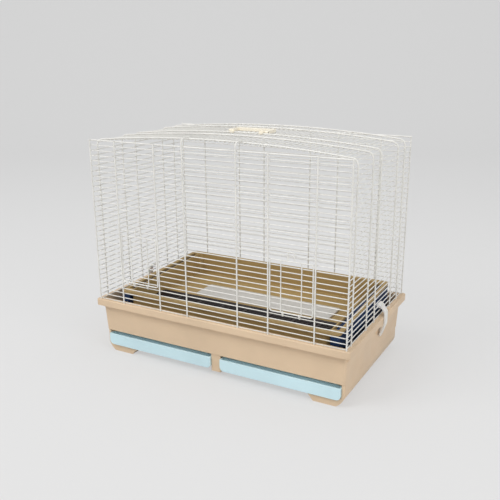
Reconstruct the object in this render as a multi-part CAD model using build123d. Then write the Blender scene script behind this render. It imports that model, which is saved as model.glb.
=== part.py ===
from build123d import *
import math
import os

os.makedirs("parts", exist_ok=True)

# Overall sizes, in millimetres. The floor is z = 0, the long front faces -Y.
BASE_LENGTH = 600.0
BASE_DEPTH = 354.0
RIM_HEIGHT = 126.0
RIM_BAND = 14.5
RIM_OVERHANG_X = 10.0
RIM_OVERHANG_Y = 12.0
RIM_CORNER_RADIUS = 5.0
RIM_EDGE_RADIUS = 2.0

# Tub, the deep tray that carries the wire top.
TUB_WALL = 3.0
TUB_DRAFT = 3.0
TUB_FLOOR_HEIGHT = 49.5
TUB_FLOOR = 3.0
END_FLARE_HEIGHT = 13.0
DROP_HOLE_SIDE_LEDGE = 10.0
DROP_HOLE_END_LEDGE = 28.0

# Drawer housing below the tub.
HOUSING_FRONT_STEP = 2.0
HOUSING_BACK_STEP = 5.0
HOUSING_SIDE_WALL = 15.5
HOUSING_BACK_WALL = 4.0
HOUSING_PLATE_LOW = 10.0
HOUSING_PLATE = 5.2
HOUSING_PLATE_SETBACK = 10.0
HOUSING_ROUND = 37.0
HOUSING_ROUND_TOP = 32.0
DIVIDER_WIDTH = 22.0
RUNNER_WIDTH = 79.0
RUNNER_SLANT = 13.0
RUNNER_BACK_INSET = 32.0

# Litter drawers.
DRAWER_FRONT = 15.0
DRAWER_FRONT_PROUD = 3.0
DRAWER_FRONT_LOW = 16.0
DRAWER_FRONT_TOP = 42.0
DRAWER_FRONT_OVERLAP = 8.0
DRAWER_FRONT_GAP = 0.5
DRAWER_CORNER_RADIUS = 9.5
DRAWER_EDGE_RADIUS = 0.8
DRAWER_WALL = 2.0
DRAWER_CLEARANCE = 1.0
DRAWER_RUN_GAP = 0.3
DRAWER_BIN_HEIGHT = 30.0
CHANNEL_LIP = 2.5
CHANNEL_WIDTH = 10.0
CHANNEL_DEPTH = 14.0
CHANNEL_END = 3.0

# Inner tray, its two end blocks, its grate and its floor panel.
TRAY_OFFSET_X = 9.0
TRAY_LENGTH = BASE_LENGTH - 2 * 41.0
TRAY_DEPTH = BASE_DEPTH - 2 * 27.0
TRAY_LIP = 8.0
TRAY_LIP_HEIGHT = 6.0
TRAY_END_RUN = 20.0
TRAY_WALL = 3.0
TRAY_FRONT_TOP = 146.0
TRAY_BACK_TOP = 157.0
TRAY_FLOOR_TOP = 107.0
TRAY_FLOOR = 3.0
TRAY_CORNER_RADIUS = 10.0
END_BLOCK_INSET = 2.0
END_BLOCK_GAP = 0.3
END_BLOCK_ROUND = 2.0
GRATE_DEPTH = 118.0
GRATE_THICK = 3.0
GRATE_MARGIN = 0.5
GRATE_SEAT = 4.0
GRATE_SLOT = 4.0
GRATE_PITCH = 8.0
GRATE_RIB = 6.0
GRATE_FIELDS = 8
PANEL_LENGTH = 334.0
PANEL_DEPTH = 66.0
PANEL_THICK = 4.0
PANEL_OFFSET_X = 13.0
PANEL_GAP = 12.0
PANEL_CORNER_RADIUS = 4.0

# Wire top. Thick wires lie outside, thin wires are welded to their inner side.
THICK = 3.0
THIN = 2.0
WELD_GAP = 0.05
PITCH = 11.0
WIRE_INSET_X = 9.0
WIRE_INSET_Y = 5.0
SHOULDER_RISE = 352.5
CROWN_RISE = 14.0
HOOP_CORNER_RADIUS = 14.0
FIRST_HOOP_INSET = 24.0
LAST_HOOP_INSET = 42.0
HOOP_SHARES = (0.0, 0.2914, 0.4604, 0.8309, 1.0)
UPRIGHT_SHARES = (0.2, 0.4267, 0.7533)
TALL_UPRIGHT_BEND = 10.0
ROW_OVERRUN = 2.0

# Doors in the front panel, between the second and third uprights of each side.
DOOR_FRAME_WIRE = 2.6
DOOR_SIDE_GAP = 1.4
DOOR_HINGE_ROW = 4
DOOR_TOP_ROW = 15
DOOR_FRAME_RISE = 6.5
DOOR_TOP_DROP = 10.5
DOOR_CORNER_RADIUS = 5.0
DOOR_BAR_SHARE = 0.24
PULL_WIDTH = 14.0
PULL_HEIGHT = 18.0
PULL_WIRE = 2.2
HINGE_EYE_WIDTH = 2.6
HINGE_EYE_WALL = 1.0
HINGE_EYE_OFFSET = 4.0
PIVOT_CLEARANCE = 0.06
FIT_CLEARANCE = 0.03

# Side latches, which hang on a side wire and clasp the rim.
LATCH_ROW = 2
LATCH_PLACE_Y = 25.0
LATCH_WIDTH = 17.0
LATCH_THICK = 3.0
LATCH_HEAD_RADIUS = 5.0
LATCH_HEAD_LIFT = 1.5
LATCH_MOUTH = 1.9
LATCH_GAP = 0.4
LATCH_SHOULDER = 9.0
LATCH_BEND_BELOW_RIM = 2.0
LATCH_TAIL_LOW = 80.0
LATCH_TAIL_RADIUS = 6.0

# Folding handle on the roof, beside the middle hoop.
HANDLE_LENGTH = 93.0
HANDLE_ARM = 8.0
HANDLE_THICK = 6.0
HANDLE_REACH = 40.0
HANDLE_GRIP = 14.0
HANDLE_SIDE_GAP = 0.4
HANDLE_PIVOT_BESIDE = 8.0
HANDLE_PIVOT_ABOVE = 2.1
BRACKET_WIDTH = 8.0
BRACKET_WALL = 2.8
BRACKET_FIT = 0.15
BRACKET_CROWN_FIT = 0.3
BRACKET_TOP = 1.2
BRACKET_BELOW_HOOP = 1.0
PIN = 3.0

# Values that follow from the sizes above.
HALF_X = BASE_LENGTH / 2
HALF_Y = BASE_DEPTH / 2
WALL_X = HALF_X - RIM_OVERHANG_X
WALL_Y = HALF_Y - RIM_OVERHANG_Y
LIP_LOW = RIM_HEIGHT - RIM_BAND
FLOOR_TOP = TUB_FLOOR_HEIGHT + TUB_FLOOR
TUB_BOTTOM_Y = WALL_Y - TUB_DRAFT
HOUSING_FRONT = -TUB_BOTTOM_Y + HOUSING_FRONT_STEP
HOUSING_BACK = TUB_BOTTOM_Y - HOUSING_BACK_STEP
HOUSING_X = WALL_X - TUB_DRAFT
HOUSING_CORNER_RADIUS = RIM_CORNER_RADIUS - 1.0
BAY_INNER = DIVIDER_WIDTH / 2
BAY_OUTER = HOUSING_X - HOUSING_SIDE_WALL
PLATE_TOP = HOUSING_PLATE_LOW + HOUSING_PLATE
DRAWER_FACE = -TUB_BOTTOM_Y - DRAWER_FRONT_PROUD
BIN_FRONT = DRAWER_FACE + DRAWER_FRONT
FACE_INNER = BAY_INNER + DRAWER_FRONT_GAP
FACE_OUTER = BAY_OUTER + DRAWER_FRONT_OVERLAP
BODY_X = TRAY_LENGTH / 2 - TRAY_END_RUN
BODY_Y = TRAY_DEPTH / 2 - TRAY_LIP
TRAY_RISE = TRAY_BACK_TOP - TRAY_FRONT_TOP
TRAY_LIP_LOW = TRAY_FRONT_TOP - TRAY_LIP_HEIGHT
GRATE_LENGTH = 2 * (BODY_X - TRAY_WALL - GRATE_MARGIN)
GRATE_FRONT = -(BODY_Y - TRAY_WALL - GRATE_MARGIN)
HOOP_X = HALF_X - WIRE_INSET_X
PANEL_Y = HALF_Y - WIRE_INSET_Y
FIRST_HOOP = -PANEL_Y + FIRST_HOOP_INSET
LAST_HOOP = PANEL_Y - LAST_HOOP_INSET
HOOP_PLACES_Y = [FIRST_HOOP + share * (LAST_HOOP - FIRST_HOOP) for share in HOOP_SHARES]
UPRIGHT_PLACES_X = [share * HALF_X for share in UPRIGHT_SHARES]
LAYER = THICK / 2 + THIN / 2 + WELD_GAP
ROW_Y = PANEL_Y - LAYER
SIDE_ROW_X = HOOP_X - LAYER
FIRST_ROW = RIM_HEIGHT + THIN / 2 + WELD_GAP
CROWN_TOP = RIM_HEIGHT + SHOULDER_RISE + CROWN_RISE
SHOULDER_X = HOOP_X - HOOP_CORNER_RADIUS
CROWN_RADIUS = (SHOULDER_X**2 + CROWN_RISE**2) / (2 * CROWN_RISE)
CROWN_CENTRE = CROWN_TOP - CROWN_RADIUS
CORNER_HEIGHT = CROWN_CENTRE + math.sqrt(
    (CROWN_RADIUS - HOOP_CORNER_RADIUS) ** 2 - SHOULDER_X**2
)
TOP_WIRE_HEIGHT = RIM_HEIGHT + SHOULDER_RISE
PANEL_ROWS = int((TOP_WIRE_HEIGHT - THICK / 2 - THIN / 2 - FIRST_ROW) / PITCH) + 1
SIDE_ROWS = int((CORNER_HEIGHT - THIN - FIRST_ROW) / PITCH) + 1
ROW_REACH = HOOP_X + THICK / 2
SIDE_ROW_REACH = ROW_Y - THIN / 2 - WELD_GAP
HANDLE_HOOP = HOOP_PLACES_Y[len(HOOP_PLACES_Y) // 2]
DOOR_INNER = UPRIGHT_PLACES_X[1] + THICK / 2 + DOOR_SIDE_GAP + DOOR_FRAME_WIRE / 2
DOOR_OUTER = UPRIGHT_PLACES_X[2] - THICK / 2 - DOOR_SIDE_GAP - DOOR_FRAME_WIRE / 2
DOOR_WIDTH = DOOR_OUTER - DOOR_INNER
DOOR_MIDDLE = (DOOR_INNER + DOOR_OUTER) / 2


def row_height(row):
    """Height of a thin wire of the panels and sides, counted from the rim."""
    return FIRST_ROW + PITCH * row


HINGE_HEIGHT = row_height(DOOR_HINGE_ROW)
DOOR_LOW = HINGE_HEIGHT + DOOR_FRAME_RISE
DOOR_TOP = row_height(DOOR_TOP_ROW) - DOOR_TOP_DROP


def save(name, *solids):
    """Write one node from its solids."""
    flat = [solid for group in solids for solid in group.solids()]
    export_step(flat[0] if len(flat) == 1 else Compound(children=flat), f"parts/{name}.step")


def rod(start, end, diameter):
    """Straight round wire between two points."""
    axis = Vector(*end) - Vector(*start)
    return Solid.make_cylinder(diameter / 2, axis.length, Plane(origin=start, z_dir=axis))


def bent_rod(path, diameter):
    """Round wire swept along a path of straight runs and tangent arcs."""
    start = Plane(origin=path @ 0, z_dir=path % 0)
    return sweep(start * Circle(diameter / 2), path=path)


def block(low, high):
    """Box between two corners."""
    size = [h - l for l, h in zip(low, high)]
    middle = [(h + l) / 2 for l, h in zip(low, high)]
    return Pos(*middle) * Box(*size)


def tapered(size_low, low, size_high, high, radius):
    """Block with rounded corners that tapers between two rectangles."""
    sections = [
        Plane.XY.offset(low) * RectangleRounded(*size_low, radius),
        Plane.XY.offset(high) * RectangleRounded(*size_high, radius),
    ]
    return loft(sections, ruled=True)


def prism_along_y(points, y_low, y_high):
    """Prism with an outline in X and Z that runs along Y."""
    face = make_face(Polyline(*[(x, y_low, z) for x, z in points], close=True))
    return extrude(face, y_high - y_low, dir=(0, 1, 0))


def mirrored(shape):
    """The same shape on the other side of the middle plane X = 0."""
    return mirror(shape, about=Plane.YZ)


def crown_height(x):
    """Height of a roof hoop's centre line above the floor, between the bends."""
    return CROWN_CENTRE + math.sqrt(CROWN_RADIUS**2 - x**2)


# Base.


def make_tub():
    """Deep tray with an overhanging rim and a litter hole above each drawer."""
    rim = extrude(
        Plane.XY.offset(LIP_LOW) * RectangleRounded(BASE_LENGTH, BASE_DEPTH, RIM_CORNER_RADIUS),
        RIM_BAND,
    )
    rim = fillet(rim.edges().group_by(Axis.Z)[-1], RIM_EDGE_RADIUS)
    low = (2 * (WALL_X - TUB_DRAFT), 2 * (WALL_Y - TUB_DRAFT))
    high = (2 * WALL_X, 2 * WALL_Y)
    walls = tapered(low, TUB_FLOOR_HEIGHT, high, LIP_LOW, RIM_CORNER_RADIUS)
    flare_run = WALL_Y - RIM_CORNER_RADIUS
    drop = TUB_DRAFT * END_FLARE_HEIGHT / (LIP_LOW - TUB_FLOOR_HEIGHT)
    flare = prism_along_y(
        [
            (WALL_X - TUB_WALL, LIP_LOW),
            (HALF_X, LIP_LOW),
            (WALL_X - drop, LIP_LOW - END_FLARE_HEIGHT),
            (WALL_X - TUB_WALL, LIP_LOW - END_FLARE_HEIGHT),
        ],
        -flare_run,
        flare_run,
    )
    inside_low = (low[0] - 2 * TUB_WALL, low[1] - 2 * TUB_WALL)
    inside_high = (high[0] - 2 * TUB_WALL, high[1] - 2 * TUB_WALL)
    radius = RIM_CORNER_RADIUS - TUB_WALL
    hollow = tapered(inside_low, FLOOR_TOP, inside_high, RIM_HEIGHT + 1, radius)
    tub = rim + walls + flare + mirrored(flare) - hollow
    hole_x = WALL_X - TUB_DRAFT - TUB_WALL
    hole = block(
        (BAY_INNER + DROP_HOLE_SIDE_LEDGE / 2, -WALL_Y + DROP_HOLE_END_LEDGE, 0),
        (hole_x - DROP_HOLE_SIDE_LEDGE, WALL_Y - DROP_HOLE_END_LEDGE, RIM_HEIGHT),
    )
    return tub - hole - mirrored(hole)


def make_housing():
    """Carcass below the tub: outer walls, middle divider, plate and two foot runners."""
    profile = [
        (-HOUSING_X, TUB_FLOOR_HEIGHT),
        (HOUSING_X, TUB_FLOOR_HEIGHT),
        (HOUSING_X, HOUSING_PLATE_LOW),
        (-HOUSING_X, HOUSING_PLATE_LOW),
    ]
    carcass = prism_along_y(profile, HOUSING_FRONT, HOUSING_BACK)
    carcass = fillet(carcass.edges().filter_by(Axis.Z), HOUSING_CORNER_RADIUS)
    round_x = HOUSING_X - HOUSING_ROUND
    round_z = HOUSING_ROUND_TOP
    corner = block((round_x, HOUSING_FRONT - 1, -1), (HOUSING_X + 1, HOUSING_BACK + 1, round_z))
    barrel = rod(
        (round_x, HOUSING_FRONT - 2, round_z), (round_x, HOUSING_BACK + 2, round_z), 2 * HOUSING_ROUND
    )
    corner -= barrel
    recess = block(
        (BAY_INNER, HOUSING_FRONT - 1, PLATE_TOP),
        (FACE_OUTER + DRAWER_FRONT_GAP, BIN_FRONT, TUB_FLOOR_HEIGHT + 1),
    )
    low_edge = recess.edges().filter_by(Axis.Y).group_by(Axis.Z)[0].sort_by(Axis.X)[-1]
    recess = fillet(low_edge, DRAWER_CORNER_RADIUS)
    bay = block(
        (BAY_INNER, BIN_FRONT - 1, PLATE_TOP),
        (BAY_OUTER, HOUSING_BACK - HOUSING_BACK_WALL, TUB_FLOOR_HEIGHT + 1),
    )
    runner_inner = HOUSING_X - RUNNER_WIDTH
    front_cut = block(
        (BAY_INNER, HOUSING_FRONT - 1, 0),
        (runner_inner + RUNNER_SLANT, BIN_FRONT + HOUSING_PLATE_SETBACK, PLATE_TOP + 1),
    )
    outline = [
        (runner_inner, PLATE_TOP),
        (HOUSING_X, PLATE_TOP),
        (HOUSING_X, 0),
        (runner_inner + RUNNER_SLANT, 0),
    ]
    runner = prism_along_y(outline, HOUSING_FRONT, HOUSING_BACK - RUNNER_BACK_INSET)
    hollows = recess + bay + front_cut
    shell = carcass - hollows - mirrored(hollows) + runner + mirrored(runner)
    return shell - corner - mirrored(corner)


def make_drawer():
    """Right litter drawer: open bin behind a front with a finger channel along its top."""
    bin_low = PLATE_TOP + DRAWER_RUN_GAP
    inner = BAY_INNER + DRAWER_CLEARANCE
    outer = BAY_OUTER - DRAWER_CLEARANCE
    back = HOUSING_BACK - HOUSING_BACK_WALL - DRAWER_CLEARANCE
    body = block((inner, BIN_FRONT, bin_low), (outer, back, bin_low + DRAWER_BIN_HEIGHT))
    hollow = block(
        (inner + DRAWER_WALL, BIN_FRONT + DRAWER_WALL, bin_low + DRAWER_WALL),
        (outer - DRAWER_WALL, back - DRAWER_WALL, bin_low + DRAWER_BIN_HEIGHT + 1),
    )
    face = block(
        (FACE_INNER, DRAWER_FACE, DRAWER_FRONT_LOW), (FACE_OUTER, BIN_FRONT, DRAWER_FRONT_TOP)
    )
    low_corners = face.edges().filter_by(Axis.Y).group_by(Axis.Z)[0]
    face = fillet(low_corners, DRAWER_CORNER_RADIUS)
    face = fillet(face.edges().group_by(Axis.Y)[0], DRAWER_EDGE_RADIUS)
    channel = block(
        (FACE_INNER + CHANNEL_END, DRAWER_FACE + CHANNEL_LIP, DRAWER_FRONT_TOP - CHANNEL_DEPTH),
        (FACE_OUTER - CHANNEL_END, DRAWER_FACE + CHANNEL_LIP + CHANNEL_WIDTH, DRAWER_FRONT_TOP + 1),
    )
    return body - hollow + (face - channel)


# Inner tray.


def below_slope(low_front):
    """Everything below a plane that rises to the back as the tray's lip does."""
    half_y, far_x = TRAY_DEPTH / 2, BASE_LENGTH
    outline = [(-half_y, 0), (half_y, 0), (half_y, low_front + TRAY_RISE), (-half_y, low_front)]
    face = make_face(Polyline(*[(-far_x, y, z) for y, z in outline], close=True))
    return extrude(face, 2 * far_x, dir=(1, 0, 0))


def make_tray():
    """Tray with a skirt, a raised floor and a lip that is higher at the back."""
    outer = extrude(
        Plane.XY.offset(FLOOR_TOP) * RectangleRounded(2 * BODY_X, 2 * BODY_Y, TRAY_CORNER_RADIUS),
        TRAY_BACK_TOP - FLOOR_TOP,
    )
    inner_radius = TRAY_CORNER_RADIUS - TRAY_WALL
    inner = RectangleRounded(2 * (BODY_X - TRAY_WALL), 2 * (BODY_Y - TRAY_WALL), inner_radius)
    above = extrude(Plane.XY.offset(TRAY_FLOOR_TOP) * inner, TRAY_BACK_TOP)
    below = extrude(
        Plane.XY.offset(FLOOR_TOP - 1) * inner, TRAY_FLOOR_TOP - TRAY_FLOOR - FLOOR_TOP + 1
    )
    lip_plan = RectangleRounded(TRAY_LENGTH, TRAY_DEPTH, TRAY_CORNER_RADIUS)
    slot_width = TRAY_END_RUN - TRAY_LIP
    slot_middle = BODY_X + slot_width / 2
    slot = Rectangle(slot_width, 2 * (BODY_Y - TRAY_CORNER_RADIUS))
    lip_plan -= Pos(slot_middle, 0) * slot + Pos(-slot_middle, 0) * slot
    band = extrude(Plane.XY.offset(TRAY_LIP_LOW) * lip_plan, TRAY_LIP_HEIGHT + TRAY_RISE)
    low, high = below_slope(TRAY_LIP_LOW), below_slope(TRAY_FRONT_TOP)
    hole = block(
        (-GRATE_LENGTH / 2 + GRATE_SEAT, GRATE_FRONT + GRATE_SEAT, FLOOR_TOP),
        (GRATE_LENGTH / 2 - GRATE_SEAT, GRATE_FRONT + GRATE_DEPTH - GRATE_SEAT, TRAY_BACK_TOP),
    )
    tray = (outer + (band - low)) & high
    return Pos(TRAY_OFFSET_X, 0, 0) * (tray - above - below - hole)


def make_end_block():
    """Right block that stands on the tub floor and fills the space under the tray's lip."""
    inner, outer = BODY_X + END_BLOCK_GAP, TRAY_LENGTH / 2 - END_BLOCK_INSET
    half_y = TRAY_DEPTH / 2 - TRAY_CORNER_RADIUS + TRAY_LIP
    column = block((inner, -half_y, FLOOR_TOP), (outer, half_y, TRAY_BACK_TOP))
    column = fillet(column.edges().filter_by(Axis.Z), END_BLOCK_ROUND)
    return column & below_slope(TRAY_LIP_LOW - END_BLOCK_GAP)


def make_grate():
    """Slotted grate in the front of the tray floor, where litter falls through."""
    rows = int((GRATE_DEPTH - 2 * GRATE_RIB) / GRATE_PITCH)
    field = (GRATE_LENGTH - GRATE_RIB) / GRATE_FIELDS
    slots = GridLocations(field, GRATE_PITCH, GRATE_FIELDS, rows) * Rectangle(
        field - GRATE_RIB, GRATE_SLOT
    )
    corner = TRAY_CORNER_RADIUS - TRAY_WALL
    plan = RectangleRounded(GRATE_LENGTH, GRATE_DEPTH, corner) - slots
    middle_y = GRATE_FRONT + GRATE_DEPTH / 2
    plate = Plane.XY.offset(TRAY_FLOOR_TOP) * Pos(TRAY_OFFSET_X, middle_y) * plan
    return extrude(plate, GRATE_THICK)


def make_floor_panel():
    """Pale panel that lies on the tray floor behind the grate."""
    middle_y = GRATE_FRONT + GRATE_DEPTH + PANEL_GAP + PANEL_DEPTH / 2
    plan = Pos(TRAY_OFFSET_X + PANEL_OFFSET_X, middle_y) * RectangleRounded(
        PANEL_LENGTH, PANEL_DEPTH, PANEL_CORNER_RADIUS
    )
    return extrude(Plane.XY.offset(TRAY_FLOOR_TOP) * plan, PANEL_THICK)


# Wire top.


def hoop(y):
    """One roof wire with both its legs, in the plane of its place along Y."""
    corner = Vector(SHOULDER_X, y, CORNER_HEIGHT)
    reach = math.hypot(SHOULDER_X, CORNER_HEIGHT - CROWN_CENTRE)
    outward = Vector(SHOULDER_X / reach, 0, (CORNER_HEIGHT - CROWN_CENTRE) / reach)
    shoulder = corner + outward * HOOP_CORNER_RADIUS
    middle_angle = math.atan2(outward.Z, outward.X) / 2
    bend = corner + Vector(math.cos(middle_angle), 0, math.sin(middle_angle)) * HOOP_CORNER_RADIUS
    foot = Vector(HOOP_X, y, RIM_HEIGHT)
    top_of_leg = Vector(HOOP_X, y, CORNER_HEIGHT)

    def left(point):
        return Vector(-point.X, point.Y, point.Z)

    path = Wire(
        [
            Edge.make_line(foot, top_of_leg),
            Edge.make_three_point_arc(top_of_leg, bend, shoulder),
            Edge.make_three_point_arc(shoulder, Vector(0, y, CROWN_TOP), left(shoulder)),
            Edge.make_three_point_arc(left(shoulder), left(bend), left(top_of_leg)),
            Edge.make_line(left(top_of_leg), left(foot)),
        ]
    )
    return bent_rod(path, THICK)


def panel_uprights(side):
    """Thick uprights of the front (side -1) or back (side 1) panel."""
    y = side * PANEL_Y
    tall = UPRIGHT_PLACES_X[0] if side < 0 else None
    plain = [x for x in UPRIGHT_PLACES_X if x != tall] + [HOOP_X]
    top = TOP_WIRE_HEIGHT + THICK / 2
    rods = [rod((s * x, y, RIM_HEIGHT), (s * x, y, top), THICK) for x in plain for s in (-1, 1)]
    if tall is None:
        return rods
    high = crown_height(tall) + THICK + WELD_GAP
    tip = FIRST_HOOP + THICK / 2
    for s in (-1, 1):
        x = s * tall
        points = [(x, y, RIM_HEIGHT), (x, y, high), (x, tip, high)]
        rods.append(bent_rod(FilletPolyline(*points, radius=TALL_UPRIGHT_BEND), THICK))
    return rods


def panel_rows(side, with_doors):
    """Thin wires of the front or back panel, cut short at the door openings."""
    y = side * ROW_Y
    inner, outer = UPRIGHT_PLACES_X[1], UPRIGHT_PLACES_X[2]
    rods = []
    for row in range(PANEL_ROWS):
        z = row_height(row)
        spans = [(-ROW_REACH, ROW_REACH)]
        if with_doors and DOOR_HINGE_ROW < row < DOOR_TOP_ROW:
            spans = [
                (-ROW_REACH, -outer + ROW_OVERRUN),
                (-inner - ROW_OVERRUN, inner + ROW_OVERRUN),
                (outer - ROW_OVERRUN, ROW_REACH),
            ]
        rods += [rod((a, y, z), (b, y, z), THIN) for a, b in spans]
    return rods


def side_rows(s):
    """Thin wires along one side, between the wires of the front and back panels."""
    x, reach = s * SIDE_ROW_X, SIDE_ROW_REACH
    heights = [row_height(row) for row in range(SIDE_ROWS)]
    return [rod((x, -reach, z), (x, reach, z), THIN) for z in heights]


def roof_rows():
    """Thin wires under the roof hoops, at the same spacing round the crown."""
    first, last = HOOP_PLACES_Y[0] - THICK / 2, HOOP_PLACES_Y[-1] + THICK / 2
    count = int(SHOULDER_X / PITCH)
    radius = CROWN_RADIUS - LAYER
    places = []
    for step in range(-count, count + 1):
        angle = step * PITCH / CROWN_RADIUS
        places.append((radius * math.sin(angle), CROWN_CENTRE + radius * math.cos(angle)))
    bend = (HOOP_CORNER_RADIUS - LAYER) * math.sqrt(0.5)
    places += [(s * (SHOULDER_X + bend), CORNER_HEIGHT + bend) for s in (-1, 1)]
    return [rod((x, first, z), (x, last, z), THIN) for x, z in places]


def top_wire(side):
    """Thick straight wire that closes a panel at the shoulder."""
    y = side * (PANEL_Y - THICK - WELD_GAP)
    return rod((-HOOP_X, y, TOP_WIRE_HEIGHT), (HOOP_X, y, TOP_WIRE_HEIGHT), THICK)


# Doors, drawn for the right side.


def door_frame():
    """Closed rounded frame of the right door."""
    plan = RectangleRounded(DOOR_WIDTH, DOOR_TOP - DOOR_LOW, DOOR_CORNER_RADIUS)
    middle = (DOOR_MIDDLE, -PANEL_Y, (DOOR_LOW + DOOR_TOP) / 2)
    face = Plane(origin=middle, x_dir=(1, 0, 0), z_dir=(0, -1, 0)) * plan
    return bent_rod(face.faces()[0].outer_wire(), DOOR_FRAME_WIRE)


def door_bar_places():
    """Places along X of the two bars of the right door."""
    share = DOOR_WIDTH * DOOR_BAR_SHARE
    return (DOOR_MIDDLE - share, DOOR_MIDDLE + share)


def door_bars():
    """Two upright bars inside the frame of the right door."""
    gap = DOOR_FRAME_WIRE / 2 + WELD_GAP
    return [
        rod((x, -PANEL_Y, DOOR_LOW + gap), (x, -PANEL_Y, DOOR_TOP - gap), THIN)
        for x in door_bar_places()
    ]


def door_rows():
    """Thin wires behind the frame of the right door, in line with the panel's."""
    y = -PANEL_Y + DOOR_FRAME_WIRE / 2 + THIN / 2 + WELD_GAP
    first, last = DOOR_INNER - 1.0, DOOR_OUTER + 1.0
    rows = range(DOOR_HINGE_ROW + 1, DOOR_TOP_ROW - 1)
    return [rod((first, y, row_height(r)), (last, y, row_height(r)), THIN) for r in rows]


def door_pull():
    """Inverted U of wire on top of the door, which snaps over the panel wire."""
    foot = DOOR_TOP + DOOR_FRAME_WIRE / 2 + WELD_GAP
    high = DOOR_TOP + PULL_HEIGHT
    left, right = DOOR_MIDDLE - PULL_WIDTH / 2, DOOR_MIDDLE + PULL_WIDTH / 2
    points = [(x, -PANEL_Y, z) for x, z in ((left, foot), (left, high), (right, high), (right, foot))]
    return bent_rod(FilletPolyline(*points, radius=PULL_WIDTH / 2 - 2.0), PULL_WIRE)


def hinge_eyes():
    """Two small eyes that hold the door's lower wire and turn on the panel wire."""
    eyes = []
    pivot, frame = (-ROW_Y, HINGE_HEIGHT), (-PANEL_Y, DOOR_LOW)
    pivot_r = THIN / 2 + PIVOT_CLEARANCE
    frame_r = DOOR_FRAME_WIRE / 2 + FIT_CLEARANCE
    web_r = pivot_r + HINGE_EYE_WALL
    run = Vector(frame[0] - pivot[0], frame[1] - pivot[1])
    across = Vector(-run.Y, run.X).normalized() * web_r
    for x, s in zip(door_bar_places(), (1, -1)):
        start = x + s * HINGE_EYE_OFFSET - HINGE_EYE_WIDTH / 2
        end = start + HINGE_EYE_WIDTH

        def barrel(place, radius):
            return rod((start, *place), (end, *place), 2 * radius)

        corners = [
            (start, place[0] + side * across.X, place[1] + side * across.Y)
            for place, side in ((pivot, 1), (frame, 1), (frame, -1), (pivot, -1))
        ]
        web = extrude(make_face(Polyline(*corners, close=True)), HINGE_EYE_WIDTH, dir=(1, 0, 0))
        eye = barrel(pivot, web_r) + barrel(frame, frame_r + HINGE_EYE_WALL) + web
        eyes.append(eye - barrel(pivot, pivot_r) - barrel(frame, frame_r))
    return eyes


# Latches, drawn for the right side.


def make_latch():
    """Springy strap that hangs on a side wire and follows the rim down."""
    wire = (SIDE_ROW_X, row_height(LATCH_ROW))
    out_x = HALF_X + LATCH_GAP + LATCH_THICK / 2
    tail_x = WALL_X + LATCH_GAP + LATCH_THICK / 2
    start_x = wire[0] + LATCH_HEAD_RADIUS - LATCH_THICK / 2
    points = [
        (start_x, wire[1] + LATCH_HEAD_LIFT),
        (out_x, RIM_HEIGHT + LATCH_SHOULDER),
        (out_x, LIP_LOW - LATCH_BEND_BELOW_RIM),
        (tail_x, LATCH_TAIL_LOW),
    ]
    y = LATCH_PLACE_Y
    path = FilletPolyline(*[(x, y, z) for x, z in points], radius=[6.0, 12.0])
    section = Plane(origin=path @ 0, x_dir=(0, 1, 0), z_dir=path % 0)
    strap = sweep(section * Rectangle(LATCH_WIDTH, LATCH_THICK), path=path)
    tail_corners = strap.faces().sort_by(Axis.Z)[0].edges().sort_by(SortBy.LENGTH)[:2]
    strap = fillet(tail_corners, LATCH_TAIL_RADIUS)
    low_y = y - LATCH_WIDTH / 2
    centre = Plane(origin=(wire[0], low_y, wire[1]), x_dir=(1, 0, 0), z_dir=(0, 1, 0))
    head = extrude(centre * Circle(LATCH_HEAD_RADIUS), LATCH_WIDTH)
    bore = extrude(centre * Circle(THIN / 2 + PIVOT_CLEARANCE), LATCH_WIDTH)
    mouth = block(
        (wire[0] - LATCH_MOUTH / 2, low_y, wire[1] - 2 * LATCH_HEAD_RADIUS),
        (wire[0] + LATCH_MOUTH / 2, low_y + LATCH_WIDTH, wire[1]),
    )
    return strap + head - bore - mouth


# Handle on the roof.


def handle_pivot():
    """Place of the handle's pivot, as Y and Z."""
    middle = HANDLE_LENGTH / 2 - HANDLE_ARM - HANDLE_SIDE_GAP - BRACKET_WIDTH / 2
    return HANDLE_HOOP + HANDLE_PIVOT_BESIDE, crown_height(middle) + HANDLE_PIVOT_ABOVE


def make_handle():
    """Flat carrying handle: two arms with eyes, joined by the grip."""
    y, z = handle_pivot()
    arms = []
    for s in (-1, 1):
        inner = HANDLE_LENGTH / 2 - HANDLE_ARM
        start = inner if s > 0 else -HANDLE_LENGTH / 2
        plane = Plane(origin=(start, y, z), x_dir=(0, 1, 0), z_dir=(1, 0, 0))
        eye = plane * Circle(HANDLE_THICK / 2)
        bar = plane * Pos(HANDLE_REACH / 2, 0) * Rectangle(HANDLE_REACH, HANDLE_THICK)
        arms.append(extrude(eye, HANDLE_ARM, dir=(1, 0, 0)) + extrude(bar, HANDLE_ARM, dir=(1, 0, 0)))
    grip = block(
        (-HANDLE_LENGTH / 2, y + HANDLE_REACH - HANDLE_GRIP, z - HANDLE_THICK / 2),
        (HANDLE_LENGTH / 2, y + HANDLE_REACH, z + HANDLE_THICK / 2),
    )
    body = arms[0] + arms[1] + grip
    outer_corners = body.edges().filter_by(Axis.Z).group_by(Axis.Y)[-1]
    body = fillet(outer_corners, HANDLE_GRIP / 2)
    bore = rod((-HANDLE_LENGTH, y, z), (HANDLE_LENGTH, y, z), PIN + 2 * PIVOT_CLEARANCE)
    return body - bore


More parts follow.
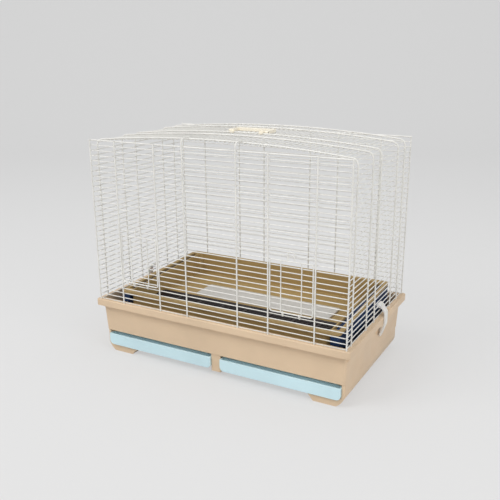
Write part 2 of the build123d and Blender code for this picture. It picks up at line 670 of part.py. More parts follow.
def handle_brackets():
    """Two small brackets that clip over the middle hoop and hold the pins beside it."""
    y, z = handle_pivot()
    outer = HANDLE_LENGTH / 2 - HANDLE_ARM - HANDLE_SIDE_GAP
    inner = outer - BRACKET_WIDTH
    hoop_z = crown_height((inner + outer) / 2)
    slot_half = THICK / 2 + BRACKET_FIT
    slot_top = hoop_z + THICK / 2 + BRACKET_CROWN_FIT
    brackets = []
    for s in (-1, 1):
        low_x, high_x = sorted((s * inner, s * outer))
        base = block(
            (low_x, HANDLE_HOOP - slot_half - BRACKET_WALL, hoop_z - BRACKET_BELOW_HOOP),
            (high_x, HANDLE_HOOP + slot_half + BRACKET_WALL, slot_top + BRACKET_TOP),
        )
        ear = block((low_x, HANDLE_HOOP, z - HANDLE_THICK / 2), (high_x, y, z + HANDLE_THICK / 2))
        plane = Plane(origin=(low_x, y, z), x_dir=(0, 1, 0), z_dir=(1, 0, 0))
        nose = extrude(plane * Circle(HANDLE_THICK / 2), BRACKET_WIDTH, dir=(1, 0, 0))
        slot = block(
            (low_x - 1, HANDLE_HOOP - slot_half, hoop_z - 2 * THICK),
            (high_x + 1, HANDLE_HOOP + slot_half, slot_top),
        )
        bore = rod((low_x - 1, y, z), (high_x + 1, y, z), PIN + 2 * FIT_CLEARANCE)
        brackets.append(base + ear + nose - slot - bore)
    return brackets


def handle_pins():
    """Two pins through the brackets and the handle's eyes."""
    y, z = handle_pivot()
    outer = HANDLE_LENGTH / 2
    inner = outer - HANDLE_ARM - HANDLE_SIDE_GAP - BRACKET_WIDTH
    return [rod((s * inner, y, z), (s * outer, y, z), PIN) for s in (-1, 1)]


# Every node.

save("base_tub", make_tub())
save("drawer_housing", make_housing())
right_drawer = make_drawer()
save("drawer_right", right_drawer)
save("drawer_left", mirrored(right_drawer))
save("inner_tray", make_tray())
save("sieve_grate", make_grate())
right_end_block = make_end_block()
save("tray_end_right", Pos(TRAY_OFFSET_X, 0, 0) * right_end_block)
save("tray_end_left", Pos(TRAY_OFFSET_X, 0, 0) * mirrored(right_end_block))
save("floor_panel", make_floor_panel())

save("roof_hoops", *[hoop(y) for y in HOOP_PLACES_Y])
save("roof_wires", *roof_rows())
save("side_wires_left", *side_rows(-1))
save("side_wires_right", *side_rows(1))
for panel, side in (("front", -1), ("back", 1)):
    save(f"{panel}_uprights", *panel_uprights(side))
    save(f"{panel}_wires", *panel_rows(side, with_doors=side < 0))
    save(f"{panel}_top_wire", top_wire(side))

door_pieces = {
    "frame": [door_frame()],
    "bars": door_bars(),
    "wires": door_rows(),
    "pull": [door_pull()],
    "hinge_eyes": hinge_eyes(),
}
for piece, solids in door_pieces.items():
    save(f"door_right_{piece}", *solids)
    save(f"door_left_{piece}", *[mirrored(solid) for solid in solids])

right_latch = make_latch()
save("latch_right", right_latch)
save("latch_left", mirrored(right_latch))

save("handle_grip", make_handle())
save("handle_brackets", *handle_brackets())
save("handle_pins", *handle_pins())
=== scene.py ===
"""Looks of a small animal cage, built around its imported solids.

Every length is in metres in the solids' own frame: +X to the right along the
cage, +Y from its front to its back, +Z up, with the floor at z = 0.
"""

import logging
import math
from dataclasses import dataclass, field
from enum import Enum

import bmesh
import bpy
from mathutils import Matrix, Vector


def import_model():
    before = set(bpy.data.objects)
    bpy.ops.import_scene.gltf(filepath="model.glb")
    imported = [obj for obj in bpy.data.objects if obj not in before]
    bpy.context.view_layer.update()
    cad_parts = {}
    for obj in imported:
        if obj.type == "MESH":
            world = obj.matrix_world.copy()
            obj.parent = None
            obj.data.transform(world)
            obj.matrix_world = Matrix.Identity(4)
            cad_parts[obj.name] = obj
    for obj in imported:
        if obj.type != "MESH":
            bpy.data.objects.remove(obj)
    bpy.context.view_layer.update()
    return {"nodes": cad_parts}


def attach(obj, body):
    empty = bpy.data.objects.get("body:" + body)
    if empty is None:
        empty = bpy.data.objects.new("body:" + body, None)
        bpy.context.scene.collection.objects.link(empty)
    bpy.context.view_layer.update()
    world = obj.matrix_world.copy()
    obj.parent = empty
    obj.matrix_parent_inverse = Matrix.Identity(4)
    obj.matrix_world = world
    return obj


LOG = logging.getLogger("cage")
MM = 0.001
IMAGE_SIDE = 500
MERGE_DISTANCE = 0.002 * MM
FLAT_DEGREES = 0.4
SHARP_DEGREES = 35.0

Color = tuple[float, float, float]
Point = tuple[float, float, float]


class Side(Enum):
    """The two mirrored halves of the cage, with the sign of their X."""

    LEFT = -1
    RIGHT = 1

    @property
    def word(self) -> str:
        """The half's name, as the nodes spell it."""
        return self.name.lower()


class Panel(Enum):
    """The two long wire panels, with the sign of their Y."""

    FRONT = -1
    BACK = 1

    @property
    def word(self) -> str:
        """The panel's name, as the nodes spell it."""
        return self.name.lower()


def linear(color: Color) -> tuple[float, float, float, float]:
    """Turns a display colour into the renderer's linear one.

    Args:
        color: Red, green and blue as displayed, from 0 to 1.

    Returns:
        The linear colour with full opacity.
    """
    parts = [c / 12.92 if c <= 0.04045 else ((c + 0.055) / 1.055) ** 2.4 for c in color]
    return (*parts, 1.0)


def shade(color: Color, factor: float) -> Color:
    """Returns a colour made lighter or darker by a factor."""
    return tuple(min(1.0, c * factor) for c in color)


class NodeSheet:
    """A material's node tree, with short calls to add and wire its nodes."""

    def __init__(self, name: str) -> None:
        """Makes an empty material.

        Args:
            name: The material's name.
        """
        self.material = bpy.data.materials.new(name)
        self.material.use_nodes = True
        self.tree = self.material.node_tree
        self.tree.nodes.clear()
        self.output = self.add("ShaderNodeOutputMaterial")
        self.coordinates = self.add("ShaderNodeTexCoord").outputs["Object"]

    def add(self, kind: str, **values: object) -> bpy.types.Node:
        """Adds a node.

        Args:
            kind: Blender's name of the node type.
            values: Attributes to set on the node.

        Returns:
            The new node.
        """
        node = self.tree.nodes.new(kind)
        for key, value in values.items():
            setattr(node, key, value)
        return node

    def link(self, start: bpy.types.NodeSocket, end: bpy.types.NodeSocket) -> None:
        """Joins an output socket to an input socket."""
        self.tree.links.new(start, end)

    def noise(self, scale: float, detail: float = 2.0, stretch: Point = (1, 1, 1)) -> bpy.types.NodeSocket:
        """Adds a noise texture in the object's own space.

        Args:
            scale: Features per metre.
            detail: Octaves of finer noise.
            stretch: Factors on the coordinates.

        Returns:
            The noise value's socket.
        """
        vector = self.coordinates
        if stretch != (1, 1, 1):
            mapping = self.add("ShaderNodeMapping")
            mapping.inputs["Scale"].default_value = stretch
            self.link(self.coordinates, mapping.inputs["Vector"])
            vector = mapping.outputs["Vector"]
        texture = self.add("ShaderNodeTexNoise")
        texture.inputs["Scale"].default_value = scale
        texture.inputs["Detail"].default_value = detail
        self.link(vector, texture.inputs["Vector"])
        return texture.outputs["Fac"]

    def remap(
        self, value: bpy.types.NodeSocket, low: float, high: float, to_low: float, to_high: float
    ) -> bpy.types.NodeSocket:
        """Maps a value from one range to another, clamped.

        Args:
            value: The socket to map.
            low: Start of the range that comes in.
            high: End of the range that comes in.
            to_low: Result at the start.
            to_high: Result at the end.

        Returns:
            The mapped socket.
        """
        node = self.add("ShaderNodeMapRange")
        self.link(value, node.inputs["Value"])
        for key, number in (("From Min", low), ("From Max", high), ("To Min", to_low), ("To Max", to_high)):
            node.inputs[key].default_value = number
        return node.outputs["Result"]

    def blend(
        self, amount: bpy.types.NodeSocket, first: object, second: object
    ) -> bpy.types.NodeSocket:
        """Mixes two colours.

        Args:
            amount: Share of the second colour.
            first: A display colour or a colour socket.
            second: A display colour or a colour socket.

        Returns:
            The mixed colour's socket.
        """
        node = self.add("ShaderNodeMix", data_type="RGBA")
        self.link(amount, node.inputs["Factor"])
        for key, value in (("A", first), ("B", second)):
            socket = next(s for s in node.inputs if s.name == key and s.type == "RGBA")
            if isinstance(value, tuple):
                socket.default_value = linear(value)
            else:
                self.link(value, socket)
        return next(s for s in node.outputs if s.type == "RGBA")

    def bump(
        self, height: bpy.types.NodeSocket, strength: float, distance: float, below: object = None
    ) -> bpy.types.NodeSocket:
        """Adds a bump from a height.

        Args:
            height: The height's socket.
            strength: Strength of the effect.
            distance: Height of one unit in metres.
            below: The normal of a coarser bump under this one.

        Returns:
            The normal's socket.
        """
        node = self.add("ShaderNodeBump")
        node.inputs["Strength"].default_value = strength
        node.inputs["Distance"].default_value = distance
        self.link(height, node.inputs["Height"])
        if below is not None:
            self.link(below, node.inputs["Normal"])
        return node.outputs["Normal"]

    def surface(self, **values: object) -> bpy.types.Node:
        """Adds the main shader and joins it to the output.

        Args:
            values: Numbers by input name, with underscores for spaces.

        Returns:
            The shader node.
        """
        shader = self.add("ShaderNodeBsdfPrincipled")
        for key, value in values.items():
            shader.inputs[key.replace("_", " ")].default_value = value
        self.link(shader.outputs["BSDF"], self.output.inputs["Surface"])
        return shader


@dataclass(frozen=True)
class MouldedPlastic:
    """Opaque moulded plastic with a faint mottle, a fine grain and soft scuffs."""

    name: str
    color: Color
    roughness: float = 0.42
    mottle: float = 0.03
    grain: float = 0.00012
    scuffs: float = 0.35

    def build(self) -> bpy.types.Material:
        """Builds the material.

        Returns:
            The finished material.
        """
        sheet = NodeSheet(self.name)
        shader = sheet.surface(Specular_IOR_Level=0.45)
        cloud = sheet.remap(sheet.noise(7.0, 3.0), 0.3, 0.7, 0.0, 1.0)
        base = sheet.blend(
            cloud, shade(self.color, 1 - self.mottle), shade(self.color, 1 + self.mottle)
        )
        scratch = sheet.remap(sheet.noise(60.0, 4.0, (1.0, 1.0, 9.0)), 0.62, 0.72, 0.0, self.scuffs)
        base = sheet.blend(scratch, base, shade(self.color, 1.06))
        sheet.link(base, shader.inputs["Base Color"])
        rough = sheet.remap(
            sheet.noise(24.0, 4.0), 0.35, 0.65, self.roughness - 0.06, self.roughness + 0.08
        )
        sheet.link(rough, shader.inputs["Roughness"])
        wave = sheet.bump(sheet.noise(14.0, 1.0), 0.15, 0.0012)
        grain = sheet.bump(sheet.noise(1400.0, 2.0), 0.35, self.grain, wave)
        sheet.link(grain, shader.inputs["Normal"])
        return sheet.material


@dataclass(frozen=True)
class RibbedPlastic:
    """Dark moulded plastic with upright ribs on all its walls."""

    name: str
    color: Color
    roughness: float = 0.45
    rib_pitch: float = 6.0 * MM

    def build(self) -> bpy.types.Material:
        """Builds the material.

        Returns:
            The finished material.
        """
        sheet = NodeSheet(self.name)
        shader = sheet.surface(Specular_IOR_Level=0.4)
        cloud = sheet.remap(sheet.noise(25.0, 3.0), 0.3, 0.7, 0.0, 1.0)
        base = sheet.blend(cloud, shade(self.color, 0.85), shade(self.color, 1.15))
        sheet.link(base, shader.inputs["Base Color"])
        rough = sheet.remap(
            sheet.noise(40.0, 4.0), 0.35, 0.65, self.roughness - 0.06, self.roughness + 0.1
        )
        sheet.link(rough, shader.inputs["Roughness"])
        parts = sheet.add("ShaderNodeSeparateXYZ")
        sheet.link(sheet.coordinates, parts.inputs["Vector"])
        along = sheet.add("ShaderNodeMath", operation="ADD")
        sheet.link(parts.outputs["X"], along.inputs[0])
        sheet.link(parts.outputs["Y"], along.inputs[1])
        turns = sheet.add("ShaderNodeMath", operation="MULTIPLY")
        sheet.link(along.outputs["Value"], turns.inputs[0])
        turns.inputs[1].default_value = 2 * math.pi / self.rib_pitch
        wave = sheet.add("ShaderNodeMath", operation="SINE")
        sheet.link(turns.outputs["Value"], wave.inputs[0])
        ribs = sheet.bump(sheet.remap(wave.outputs["Value"], -0.5, 0.5, 0.0, 1.0), 0.8, 0.0008)
        grain = sheet.bump(sheet.noise(1200.0, 2.0), 0.3, 0.0001, ribs)
        sheet.link(grain, shader.inputs["Normal"])
        return sheet.material


@dataclass(frozen=True)
class CoatedWire:
    """Steel wire under a smooth off-white coat that varies a little in thickness."""

    name: str
    color: Color
    roughness: float = 0.32

    def build(self) -> bpy.types.Material:
        """Builds the material.

        Returns:
            The finished material.
        """
        sheet = NodeSheet(self.name)
        shader = sheet.surface(Specular_IOR_Level=0.5, Coat_Weight=0.25, Coat_Roughness=0.18)
        cloud = sheet.remap(sheet.noise(38.0, 3.0), 0.35, 0.7, 0.0, 1.0)
        sheet.link(
            sheet.blend(cloud, shade(self.color, 0.955), self.color), shader.inputs["Base Color"]
        )
        rough = sheet.remap(sheet.noise(160.0, 2.0), 0.3, 0.7, self.roughness - 0.06, self.roughness + 0.1)
        sheet.link(rough, shader.inputs["Roughness"])
        runs = sheet.bump(sheet.noise(320.0, 2.0), 0.25, 0.0002)
        sheet.link(runs, shader.inputs["Normal"])
        return sheet.material


@dataclass(frozen=True)
class MilkyPlastic:
    """Springy plastic that lets a little light through."""

    name: str
    color: Color
    roughness: float = 0.3
    depth: float = 0.0025

    def build(self) -> bpy.types.Material:
        """Builds the material.

        Returns:
            The finished material.
        """
        sheet = NodeSheet(self.name)
        shader = sheet.surface(
            Specular_IOR_Level=0.5,
            Subsurface_Weight=0.45,
            Subsurface_Scale=self.depth,
            Subsurface_Radius=(1.0, 0.9, 0.75),
        )
        cloud = sheet.remap(sheet.noise(45.0, 2.0), 0.3, 0.7, 0.0, 1.0)
        sheet.link(
            sheet.blend(cloud, shade(self.color, 0.96), self.color), shader.inputs["Base Color"]
        )
        rough = sheet.remap(sheet.noise(90.0, 3.0), 0.3, 0.7, self.roughness - 0.05, self.roughness + 0.1)
        sheet.link(rough, shader.inputs["Roughness"])
        grain = sheet.bump(sheet.noise(900.0, 2.0), 0.2, 0.00008)
        sheet.link(grain, shader.inputs["Normal"])
        return sheet.material


@dataclass(frozen=True)
class BareSteel:
    """Drawn steel with fine lines along its axis, which lies along X."""

    name: str
    color: Color
    roughness: float = 0.3

    def build(self) -> bpy.types.Material:
        """Builds the material.

        Returns:
            The finished material.
        """
        sheet = NodeSheet(self.name)
        shader = sheet.surface(Metallic=1.0)
        lines = sheet.noise(260.0, 3.0, (0.1, 6.0, 6.0))
        mixed = sheet.blend(lines, shade(self.color, 0.85), self.color)
        sheet.link(mixed, shader.inputs["Base Color"])
        rough = sheet.remap(lines, 0.3, 0.7, self.roughness - 0.08, self.roughness + 0.12)
        sheet.link(rough, shader.inputs["Roughness"])
        sheet.link(sheet.bump(lines, 0.2, 0.00005), shader.inputs["Normal"])
        return sheet.material


TUB = MouldedPlastic("tub_beige", (0.855, 0.755, 0.635))
DRAWER = MouldedPlastic("drawer_pale_blue", (0.80, 0.91, 0.94), roughness=0.34)
# The inner tray's colour is its own sand tone, darkened toward olive as painted shade for its dimly lit
# inside.
TRAY_SAND_AND_SHADE = MouldedPlastic("tray_sand_and_painted_shade", (0.68, 0.575, 0.38), roughness=0.5)
END_BLOCK = RibbedPlastic("end_block_navy", (0.12, 0.23, 0.39))
# The sieve grate's near-black colour is painted shade: it stands in for the deep shadow behind the inner
# tray's front lip.
GRATE_PAINTED_SHADE = MouldedPlastic("grate_painted_shade", (0.13, 0.10, 0.10), roughness=0.5, scuffs=0.1)
FLOOR_PANEL = MouldedPlastic("floor_panel_pale", (0.80, 0.79, 0.77), roughness=0.5, mottle=0.02)
HANDLE = MouldedPlastic("handle_cream", (0.95, 0.92, 0.85), roughness=0.38)
WIRE = CoatedWire("wire_off_white", (0.92, 0.915, 0.895))
CLIP = MilkyPlastic("clip_milky", (0.93, 0.925, 0.91))
STEEL = BareSteel("pin_steel", (0.72, 0.72, 0.73))


class Paintbox:
    """Builds each finish once and dresses objects with it."""

    def __init__(self) -> None:
        """Starts with no material built."""
        self.built: dict[str, bpy.types.Material] = {}

    def get(self, finish: object) -> bpy.types.Material:
        """Returns a finish's material, building it at first use."""
        if finish.name not in self.built:
            self.built[finish.name] = finish.build()
        return self.built[finish.name]

    def dress(self, obj: bpy.types.Object, finish: object) -> None:
        """Replaces all of an object's materials with one finish.

        Args:
            obj: The object to dress.
            finish: The finish to give it.
        """
        obj.data.materials.clear()
        obj.data.materials.append(self.get(finish))
        LOG.info("dressed %s in %s", obj.name, finish.name)


def soften(obj: bpy.types.Object, width: float, segments: int = 2) -> None:
    """Rounds the sharp edges of a solid's mesh with modifiers.

    Args:
        obj: The object whose edges are rounded.
        width: Width of the rounding.
        segments: Steps across the rounding.
    """
    weld = obj.modifiers.new("weld", "WELD")
    weld.merge_threshold = MERGE_DISTANCE
    flat = obj.modifiers.new("flat", "DECIMATE")
    flat.decimate_type = "DISSOLVE"
    flat.angle_limit = math.radians(FLAT_DEGREES)
    bevel = obj.modifiers.new("edge", "BEVEL")
    bevel.width = width
    bevel.segments = segments
    bevel.limit_method = "ANGLE"
    bevel.angle_limit = math.radians(SHARP_DEGREES)
    bevel.use_clamp_overlap = True
    bevel.harden_normals = False


@dataclass(frozen=True)
class Lamp:
    """A round soft lamp that points at the middle of the cage."""

    name: str
    place: Point
    size: float
    power: float


@dataclass
class Studio:
    """Pale sweep, soft lamps and the camera of the photograph."""

    lamps: tuple[Lamp, ...] = (
        Lamp("key", (-1.3, -2.0, 2.7), 1.9, 51.0),
        Lamp("fill", (2.2, -1.0, 1.5), 1.6, 19.0),
        Lamp("top", (0.1, 0.2, 2.6), 2.0, 12.0),
    )
    aim: Point = (0.0, 0.0, 0.2)
    floor_color: Color = (0.885, 0.885, 0.885)
    glow_share: float = 0.65
    air_light: float = 0.49
    air_seen: float = 0.65
    floor_half: float = 7.0
    wall_distance: float = 4.5
    wall_height: float = 6.0
    sweep_radius: float = 1.6
    sweep_steps: int = 24
    azimuth: float = 28.902
    pitch: float = 16.864
    roll: float = -0.376
    focal_pixels: float = 673.02
    place: Point = (0.68244, -1.24515, 0.66399)

    def build(self) -> None:
        """Makes the floor and backdrop, the lamps, the world and the camera."""
        self.make_sweep()
        self.make_world()
        self.make_lamps()
        self.make_camera()
        scene = bpy.context.scene
        scene.view_settings.view_transform = "Standard"
        LOG.info("made the studio")

    def make_sweep(self) -> None:
        """Makes one sheet that runs along the floor and curves up behind the cage."""
        profile = [(-self.floor_half, 0.0), (self.wall_distance - self.sweep_radius, 0.0)]
        for step in range(1, self.sweep_steps + 1):
            angle = math.pi / 2 * step / self.sweep_steps
            profile.append(
                (
                    self.wall_distance - self.sweep_radius + self.sweep_radius * math.sin(angle),
                    self.sweep_radius * (1 - math.cos(angle)),
                )
            )
        profile.append((self.wall_distance, self.wall_height))
        mesh = bpy.data.meshes.new("sweep")
        turn = Matrix.Rotation(math.radians(self.azimuth), 4, "Z")
        points = [(x, y, z) for x in (-self.floor_half, self.floor_half) for y, z in profile]
        count = len(profile)
        faces = [(i, i + 1, count + i + 1, count + i) for i in range(count - 1)]
        mesh.from_pydata([turn @ Vector(p) for p in points], [], faces)
        for face in mesh.polygons:
            face.use_smooth = True
        sweep = bpy.data.objects.new("sweep", mesh)
        bpy.context.scene.collection.objects.link(sweep)
        sheet = NodeSheet("sweep_pale")
        lit = sheet.add("ShaderNodeBsdfDiffuse")
        lit.inputs["Color"].default_value = linear(self.floor_color)
        glow = sheet.add("ShaderNodeEmission")
        glow.inputs["Color"].default_value = linear(self.floor_color)
        path = sheet.add("ShaderNodeLightPath")
        seen = sheet.add("ShaderNodeMath", operation="MAXIMUM")
        sheet.link(path.outputs["Is Camera Ray"], seen.inputs[0])
        sheet.link(path.outputs["Is Glossy Ray"], seen.inputs[1])
        share = sheet.add("ShaderNodeMath", operation="MULTIPLY")
        sheet.link(seen.outputs["Value"], share.inputs[0])
        share.inputs[1].default_value = self.glow_share
        mix = sheet.add("ShaderNodeMixShader")
        sheet.link(share.outputs["Value"], mix.inputs["Fac"])
        sheet.link(lit.outputs["BSDF"], mix.inputs[1])
        sheet.link(glow.outputs["Emission"], mix.inputs[2])
        sheet.link(mix.outputs["Shader"], sheet.output.inputs["Surface"])
        mesh.materials.append(sheet.material)

    def make_world(self) -> None:
        """Makes a plain pale world that gives even light and looks like the backdrop."""
        world = bpy.data.worlds.new("studio_air")
        bpy.context.scene.world = world
        world.use_nodes = True
        air = world.node_tree.nodes["Background"]
        air.inputs["Color"].default_value = (1.0, 1.0, 1.0, 1.0)
        path = world.node_tree.nodes.new("ShaderNodeLightPath")
        level = world.node_tree.nodes.new("ShaderNodeMapRange")
        level.inputs["To Min"].default_value = self.air_light
        level.inputs["To Max"].default_value = self.air_seen
        world.node_tree.links.new(path.outputs["Is Camera Ray"], level.inputs["Value"])
        world.node_tree.links.new(level.outputs["Result"], air.inputs["Strength"])

    def make_lamps(self) -> None:
        """Makes the key lamp, the weaker fill and the top lamp."""
        for lamp in self.lamps:
            light = bpy.data.lights.new(lamp.name, "AREA")
            light.shape = "DISK"
            light.size = lamp.size
            light.energy = lamp.power
            holder = bpy.data.objects.new(lamp.name, light)
            holder.location = lamp.place
            aim = Vector(self.aim) - holder.location
            holder.rotation_euler = aim.to_track_quat("-Z", "Y").to_euler()
            bpy.context.scene.collection.objects.link(holder)

    def make_camera(self) -> None:
        """Places the camera where the photograph was taken."""
        data = bpy.data.cameras.new("camera")
        data.sensor_width = 36.0
        data.lens = data.sensor_width * self.focal_pixels / IMAGE_SIDE
        data.clip_start, data.clip_end = 0.02, 60.0
        camera = bpy.data.objects.new("camera", data)
        azimuth, pitch, roll = (math.radians(v) for v in (self.azimuth, self.pitch, self.roll))
        forward = Vector(
            (-math.sin(azimuth) * math.cos(pitch), math.cos(azimuth) * math.cos(pitch), -math.sin(pitch))
        )
        level = forward.cross(Vector((0, 0, 1))).normalized()
        upright = level.cross(forward)
        right = level * math.cos(roll) + upright * math.sin(roll)
        up = upright * math.cos(roll) - level * math.sin(roll)
        turn = Matrix((right, up, -forward)).transposed().to_4x4()
        camera.matrix_world = Matrix.Translation(self.place) @ turn
        bpy.context.scene.collection.objects.link(camera)
        bpy.context.scene.camera = camera


@dataclass(frozen=True)
class Blob:
    """An ellipsoid of coating: a weld between two wires or a wire's rounded end."""

    place: Point
    radii: Point


class BlobMesh:
    """Collects blobs and makes one mesh of them."""

    def __init__(self) -> None:
        """Prepares the round form that every blob repeats."""
        form = bmesh.new()
        bmesh.ops.create_icosphere(form, subdivisions=2, radius=1.0)
        self.points = [tuple(vert.co) for vert in form.verts]
        self.faces = [tuple(vert.index for vert in face.verts) for face in form.faces]
        form.free()
        self.blobs: list[Blob] = []

    def add(self, place: Point, radii: Point) -> None:
        """Adds one blob."""
        self.blobs.append(Blob(place, radii))

    def build(self, name: str, body: str, material: bpy.types.Material) -> bpy.types.Object:
        """Makes the object and lets it ride on a body.

        Args:
            name: The object's name.
            body: The body that carries the blobs.
            material: The finish of the coating.

        Returns:
            The new object.
        """
        points, faces = [], []
        for blob in self.blobs:
            start = len(points)
            for point in self.points:
                points.append(tuple(c + r * v for c, r, v in zip(blob.place, blob.radii, point)))
            faces.extend(tuple(start + i for i in face) for face in self.faces)
        mesh = bpy.data.meshes.new(name)
        mesh.from_pydata(points, [], faces)
        for face in mesh.polygons:
            face.use_smooth = True
        mesh.materials.append(material)
        obj = bpy.data.objects.new(name, mesh)
        bpy.context.scene.collection.objects.link(obj)
        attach(obj, body)
        LOG.info("made %s with %d blobs", name, len(self.blobs))
        return obj


@dataclass
class WireWork:
    """Welds and rounded ends of the wire top and its two doors."""

    thick: float = 3.0 * MM
    thin: float = 2.0 * MM
    weld_gap: float = 0.05 * MM
    pitch: float = 11.0 * MM
    rim: float = 126.0 * MM
    hoop_x: float = 291.0 * MM
    panel_y: float = 172.0 * MM
    uprights: tuple[float, ...] = (60.0 * MM, 128.01 * MM, 225.99 * MM)
    hoops: tuple[float, ...] = (-148.0 * MM, -66.99 * MM, -20.01 * MM, 82.99 * MM, 130.0 * MM)
    panel_rows: int = 32
    side_rows: int = 31
    top_wire: float = 478.5 * MM
    shoulder_x: float = 277.0 * MM
    crown_rise: float = 14.0 * MM
    hinge_row: int = 4
    door_top_row: int = 15
    door_wire: float = 2.6 * MM
    door_gap: float = 1.4 * MM
    bar_share: float = 0.24
    weld_flat: float = 0.75 * MM
    weld_wide: float = 1.2 * MM
    tip_length: float = 0.6 * MM
    top_tip_length: float = 0.7 * MM
    corner_weld: Point = (0.95 * MM, 0.7 * MM, 0.95 * MM)
    crown_weld: Point = (1.4 * MM, 1.2 * MM, 0.8 * MM)
    bar_weld: Point = (0.9 * MM, 0.75 * MM, 0.9 * MM)

    @property
    def layer(self) -> float:
        """Distance between the centre lines of a thick wire and a thin one on it."""
        return self.thick / 2 + self.thin / 2 + self.weld_gap

    @property
    def first_row(self) -> float:
        """Height of the lowest thin wire."""
        return self.rim + self.thin / 2 + self.weld_gap

    @property
    def crown_radius(self) -> float:
        """Radius of the roof hoops' crown."""
        return (self.shoulder_x**2 + self.crown_rise**2) / (2 * self.crown_rise)

    @property
    def crown_top(self) -> float:
        """Height of the roof hoops' centre line in the middle."""
        return self.top_wire + self.crown_rise

    def row(self, number: int) -> float:
        """Height of a thin wire, counted from the rim."""
        return self.first_row + self.pitch * number

    def weld(self, across: str) -> Point:
        """Radii of a weld whose thin side points across the given axis."""
        return tuple(self.weld_flat if axis == across else self.weld_wide for axis in "XYZ")

    def door_edges(self) -> tuple[float, float]:
        """Centre lines of the right door's frame, nearest the middle first."""
        margin = self.thick / 2 + self.door_gap + self.door_wire / 2
        return self.uprights[1] + margin, self.uprights[2] - margin

    def add_panel(self, blobs: BlobMesh, panel: Panel) -> None:
        """Adds the welds and wire ends of one long panel."""
        y = panel.value * (self.panel_y - self.thick / 2 - self.weld_gap / 2)
        row_y = panel.value * (self.panel_y - self.layer)
        columns = [s * x for x in (*self.uprights, self.hoop_x) for s in (-1, 1)]
        doorway = range(self.hinge_row + 1, self.door_top_row)
        for number in range(self.panel_rows):
            z = self.row(number)
            for x in columns:
                blobs.add((x, y, z), self.weld("Y"))
            ends = [self.hoop_x + self.thick / 2]
            if panel is Panel.FRONT and number in doorway:
                ends += [self.uprights[1] + self.thin, self.uprights[2] - self.thin]
            for x in ends:
                for s in (-1, 1):
                    blobs.add((s * x, row_y, z), (self.tip_length, self.thin / 2, self.thin / 2))
        for x in columns:
            blobs.add((x, y, self.top_wire), self.weld("Y"))
            if panel is Panel.BACK or abs(x) != self.uprights[0]:
                tip = (x, panel.value * self.panel_y, self.top_wire + self.thick / 2)
                blobs.add(tip, (self.thick / 2, self.thick / 2, self.tip_length))
        wire_y = panel.value * (self.panel_y - self.thick - self.weld_gap)
        for s in (-1, 1):
            place = (s * self.hoop_x, wire_y, self.top_wire)
            blobs.add(place, (self.top_tip_length, self.thick / 2, self.thick / 2))

    def add_sides(self, blobs: BlobMesh) -> None:
        """Adds the welds between the hoops' legs and the side wires."""
        x = self.hoop_x - self.thick / 2 - self.weld_gap / 2
        for number in range(self.side_rows):
            for y in self.hoops:
                for s in (-1, 1):
                    blobs.add((s * x, y, self.row(number)), self.weld("X"))
            for s in (-1, 1):
                corner_y = self.panel_y - self.layer - self.thin / 2
                for side in (-1, 1):
                    place = (s * (self.hoop_x - self.layer), side * corner_y, self.row(number))
                    blobs.add(place, self.corner_weld)

    def add_roof(self, blobs: BlobMesh) -> None:
        """Adds the welds and wire ends under the roof hoops."""
        centre = self.crown_top - self.crown_radius
        count = int(self.shoulder_x / self.pitch)
        weld_radius = self.crown_radius - self.thick / 2 - self.weld_gap / 2
        wire_radius = self.crown_radius - self.layer
        first, last = self.hoops[0] - self.thick / 2, self.hoops[-1] + self.thick / 2
        for step in range(-count, count + 1):
            angle = step * self.pitch / self.crown_radius
            for y in self.hoops:
                place = (weld_radius * math.sin(angle), y, centre + weld_radius * math.cos(angle))
                blobs.add(place, self.weld("Z"))
            for y in (first, last):
                place = (wire_radius * math.sin(angle), y, centre + wire_radius * math.cos(angle))
                blobs.add(place, (self.thin / 2, self.tip_length, self.thin / 2))
        over = centre + math.sqrt(self.crown_radius**2 - self.uprights[0] ** 2)
        for s in (-1, 1):
            place = (s * self.uprights[0], self.hoops[0], over + self.thick / 2)
            blobs.add(place, self.crown_weld)

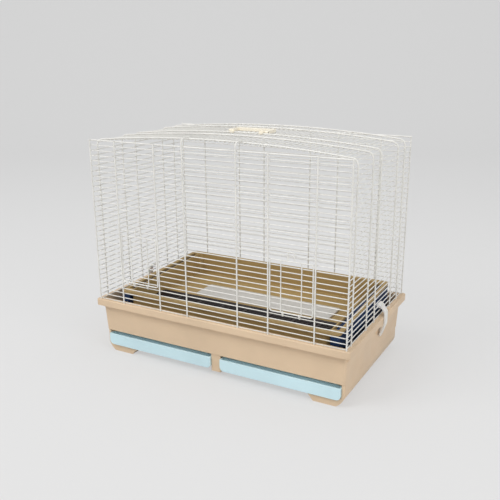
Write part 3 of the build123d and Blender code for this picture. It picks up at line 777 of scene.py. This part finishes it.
    def add_door(self, blobs: BlobMesh, side: Side) -> None:
        """Adds the welds of one door."""
        inner, outer = self.door_edges()
        middle, share = (inner + outer) / 2, (outer - inner) * self.bar_share
        row_y = -self.panel_y + self.door_wire / 2 + self.thin / 2 + self.weld_gap
        frame_y = -self.panel_y + self.door_wire / 2
        bar_y = (row_y - self.panel_y) / 2
        for number in range(self.hinge_row + 1, self.door_top_row - 1):
            z = self.row(number)
            for x in (inner, outer):
                blobs.add((side.value * x, frame_y, z), self.weld("Y"))
            for x in (middle - share, middle + share):
                blobs.add((side.value * x, bar_y, z), self.bar_weld)

    def build(self, paint: Paintbox) -> None:
        """Builds the welds of the cage and of each door."""
        fixed = BlobMesh()
        for panel in Panel:
            self.add_panel(fixed, panel)
        self.add_sides(fixed)
        self.add_roof(fixed)
        fixed.build("wire_welds", "cage", paint.get(WIRE))
        for side in Side:
            blobs = BlobMesh()
            self.add_door(blobs, side)
            blobs.build(f"door_{side.word}_welds", f"door_{side.word}", paint.get(WIRE))


@dataclass
class Cage:
    """The whole cage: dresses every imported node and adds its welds."""

    nodes: dict[str, bpy.types.Object]
    paint: Paintbox = field(default_factory=Paintbox)
    wires: WireWork = field(default_factory=WireWork)
    moulded_edge: float = 0.7 * MM
    small_edge: float = 0.4 * MM

    def finish_of(self, name: str) -> object:
        """Returns the finish that a node wears."""
        rules = (
            (("base_tub", "drawer_housing"), TUB),
            (("drawer_",), DRAWER),
            # The inner tray wears its sand tone darkened with painted shade.
            (("inner_tray",), TRAY_SAND_AND_SHADE),
            (("tray_end_",), END_BLOCK),
            # The sieve grate wears near-black painted shade for the shadow behind the tray's lip.
            (("sieve_grate",), GRATE_PAINTED_SHADE),
            (("floor_panel",), FLOOR_PANEL),
            (("latch_",), CLIP),
            (("handle_grip", "handle_brackets"), HANDLE),
            (("handle_pins",), STEEL),
        )
        for starts, finish in rules:
            if name.startswith(starts):
                return finish
        return WIRE

    def build(self) -> None:
        """Dresses each node, rounds the moulded pieces' edges and adds the welds."""
        for name, node in self.nodes.items():
            self.paint.dress(node, self.finish_of(name))
        for name in ("base_tub", "drawer_housing", "inner_tray", "floor_panel"):
            soften(self.nodes[name], self.moulded_edge)
        for name in ("drawer_left", "drawer_right", "tray_end_left", "tray_end_right"):
            soften(self.nodes[name], self.moulded_edge)
        for name in ("handle_grip", "handle_brackets", "latch_left", "latch_right", "sieve_grate"):
            soften(self.nodes[name], self.small_edge)
        self.wires.build(self.paint)


def main() -> None:
    """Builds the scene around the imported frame."""
    logging.basicConfig(level=logging.INFO, format="%(name)s: %(message)s")
    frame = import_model()
    Studio().build()
    Cage(frame["nodes"]).build()


if __name__ == "__main__":
    main()
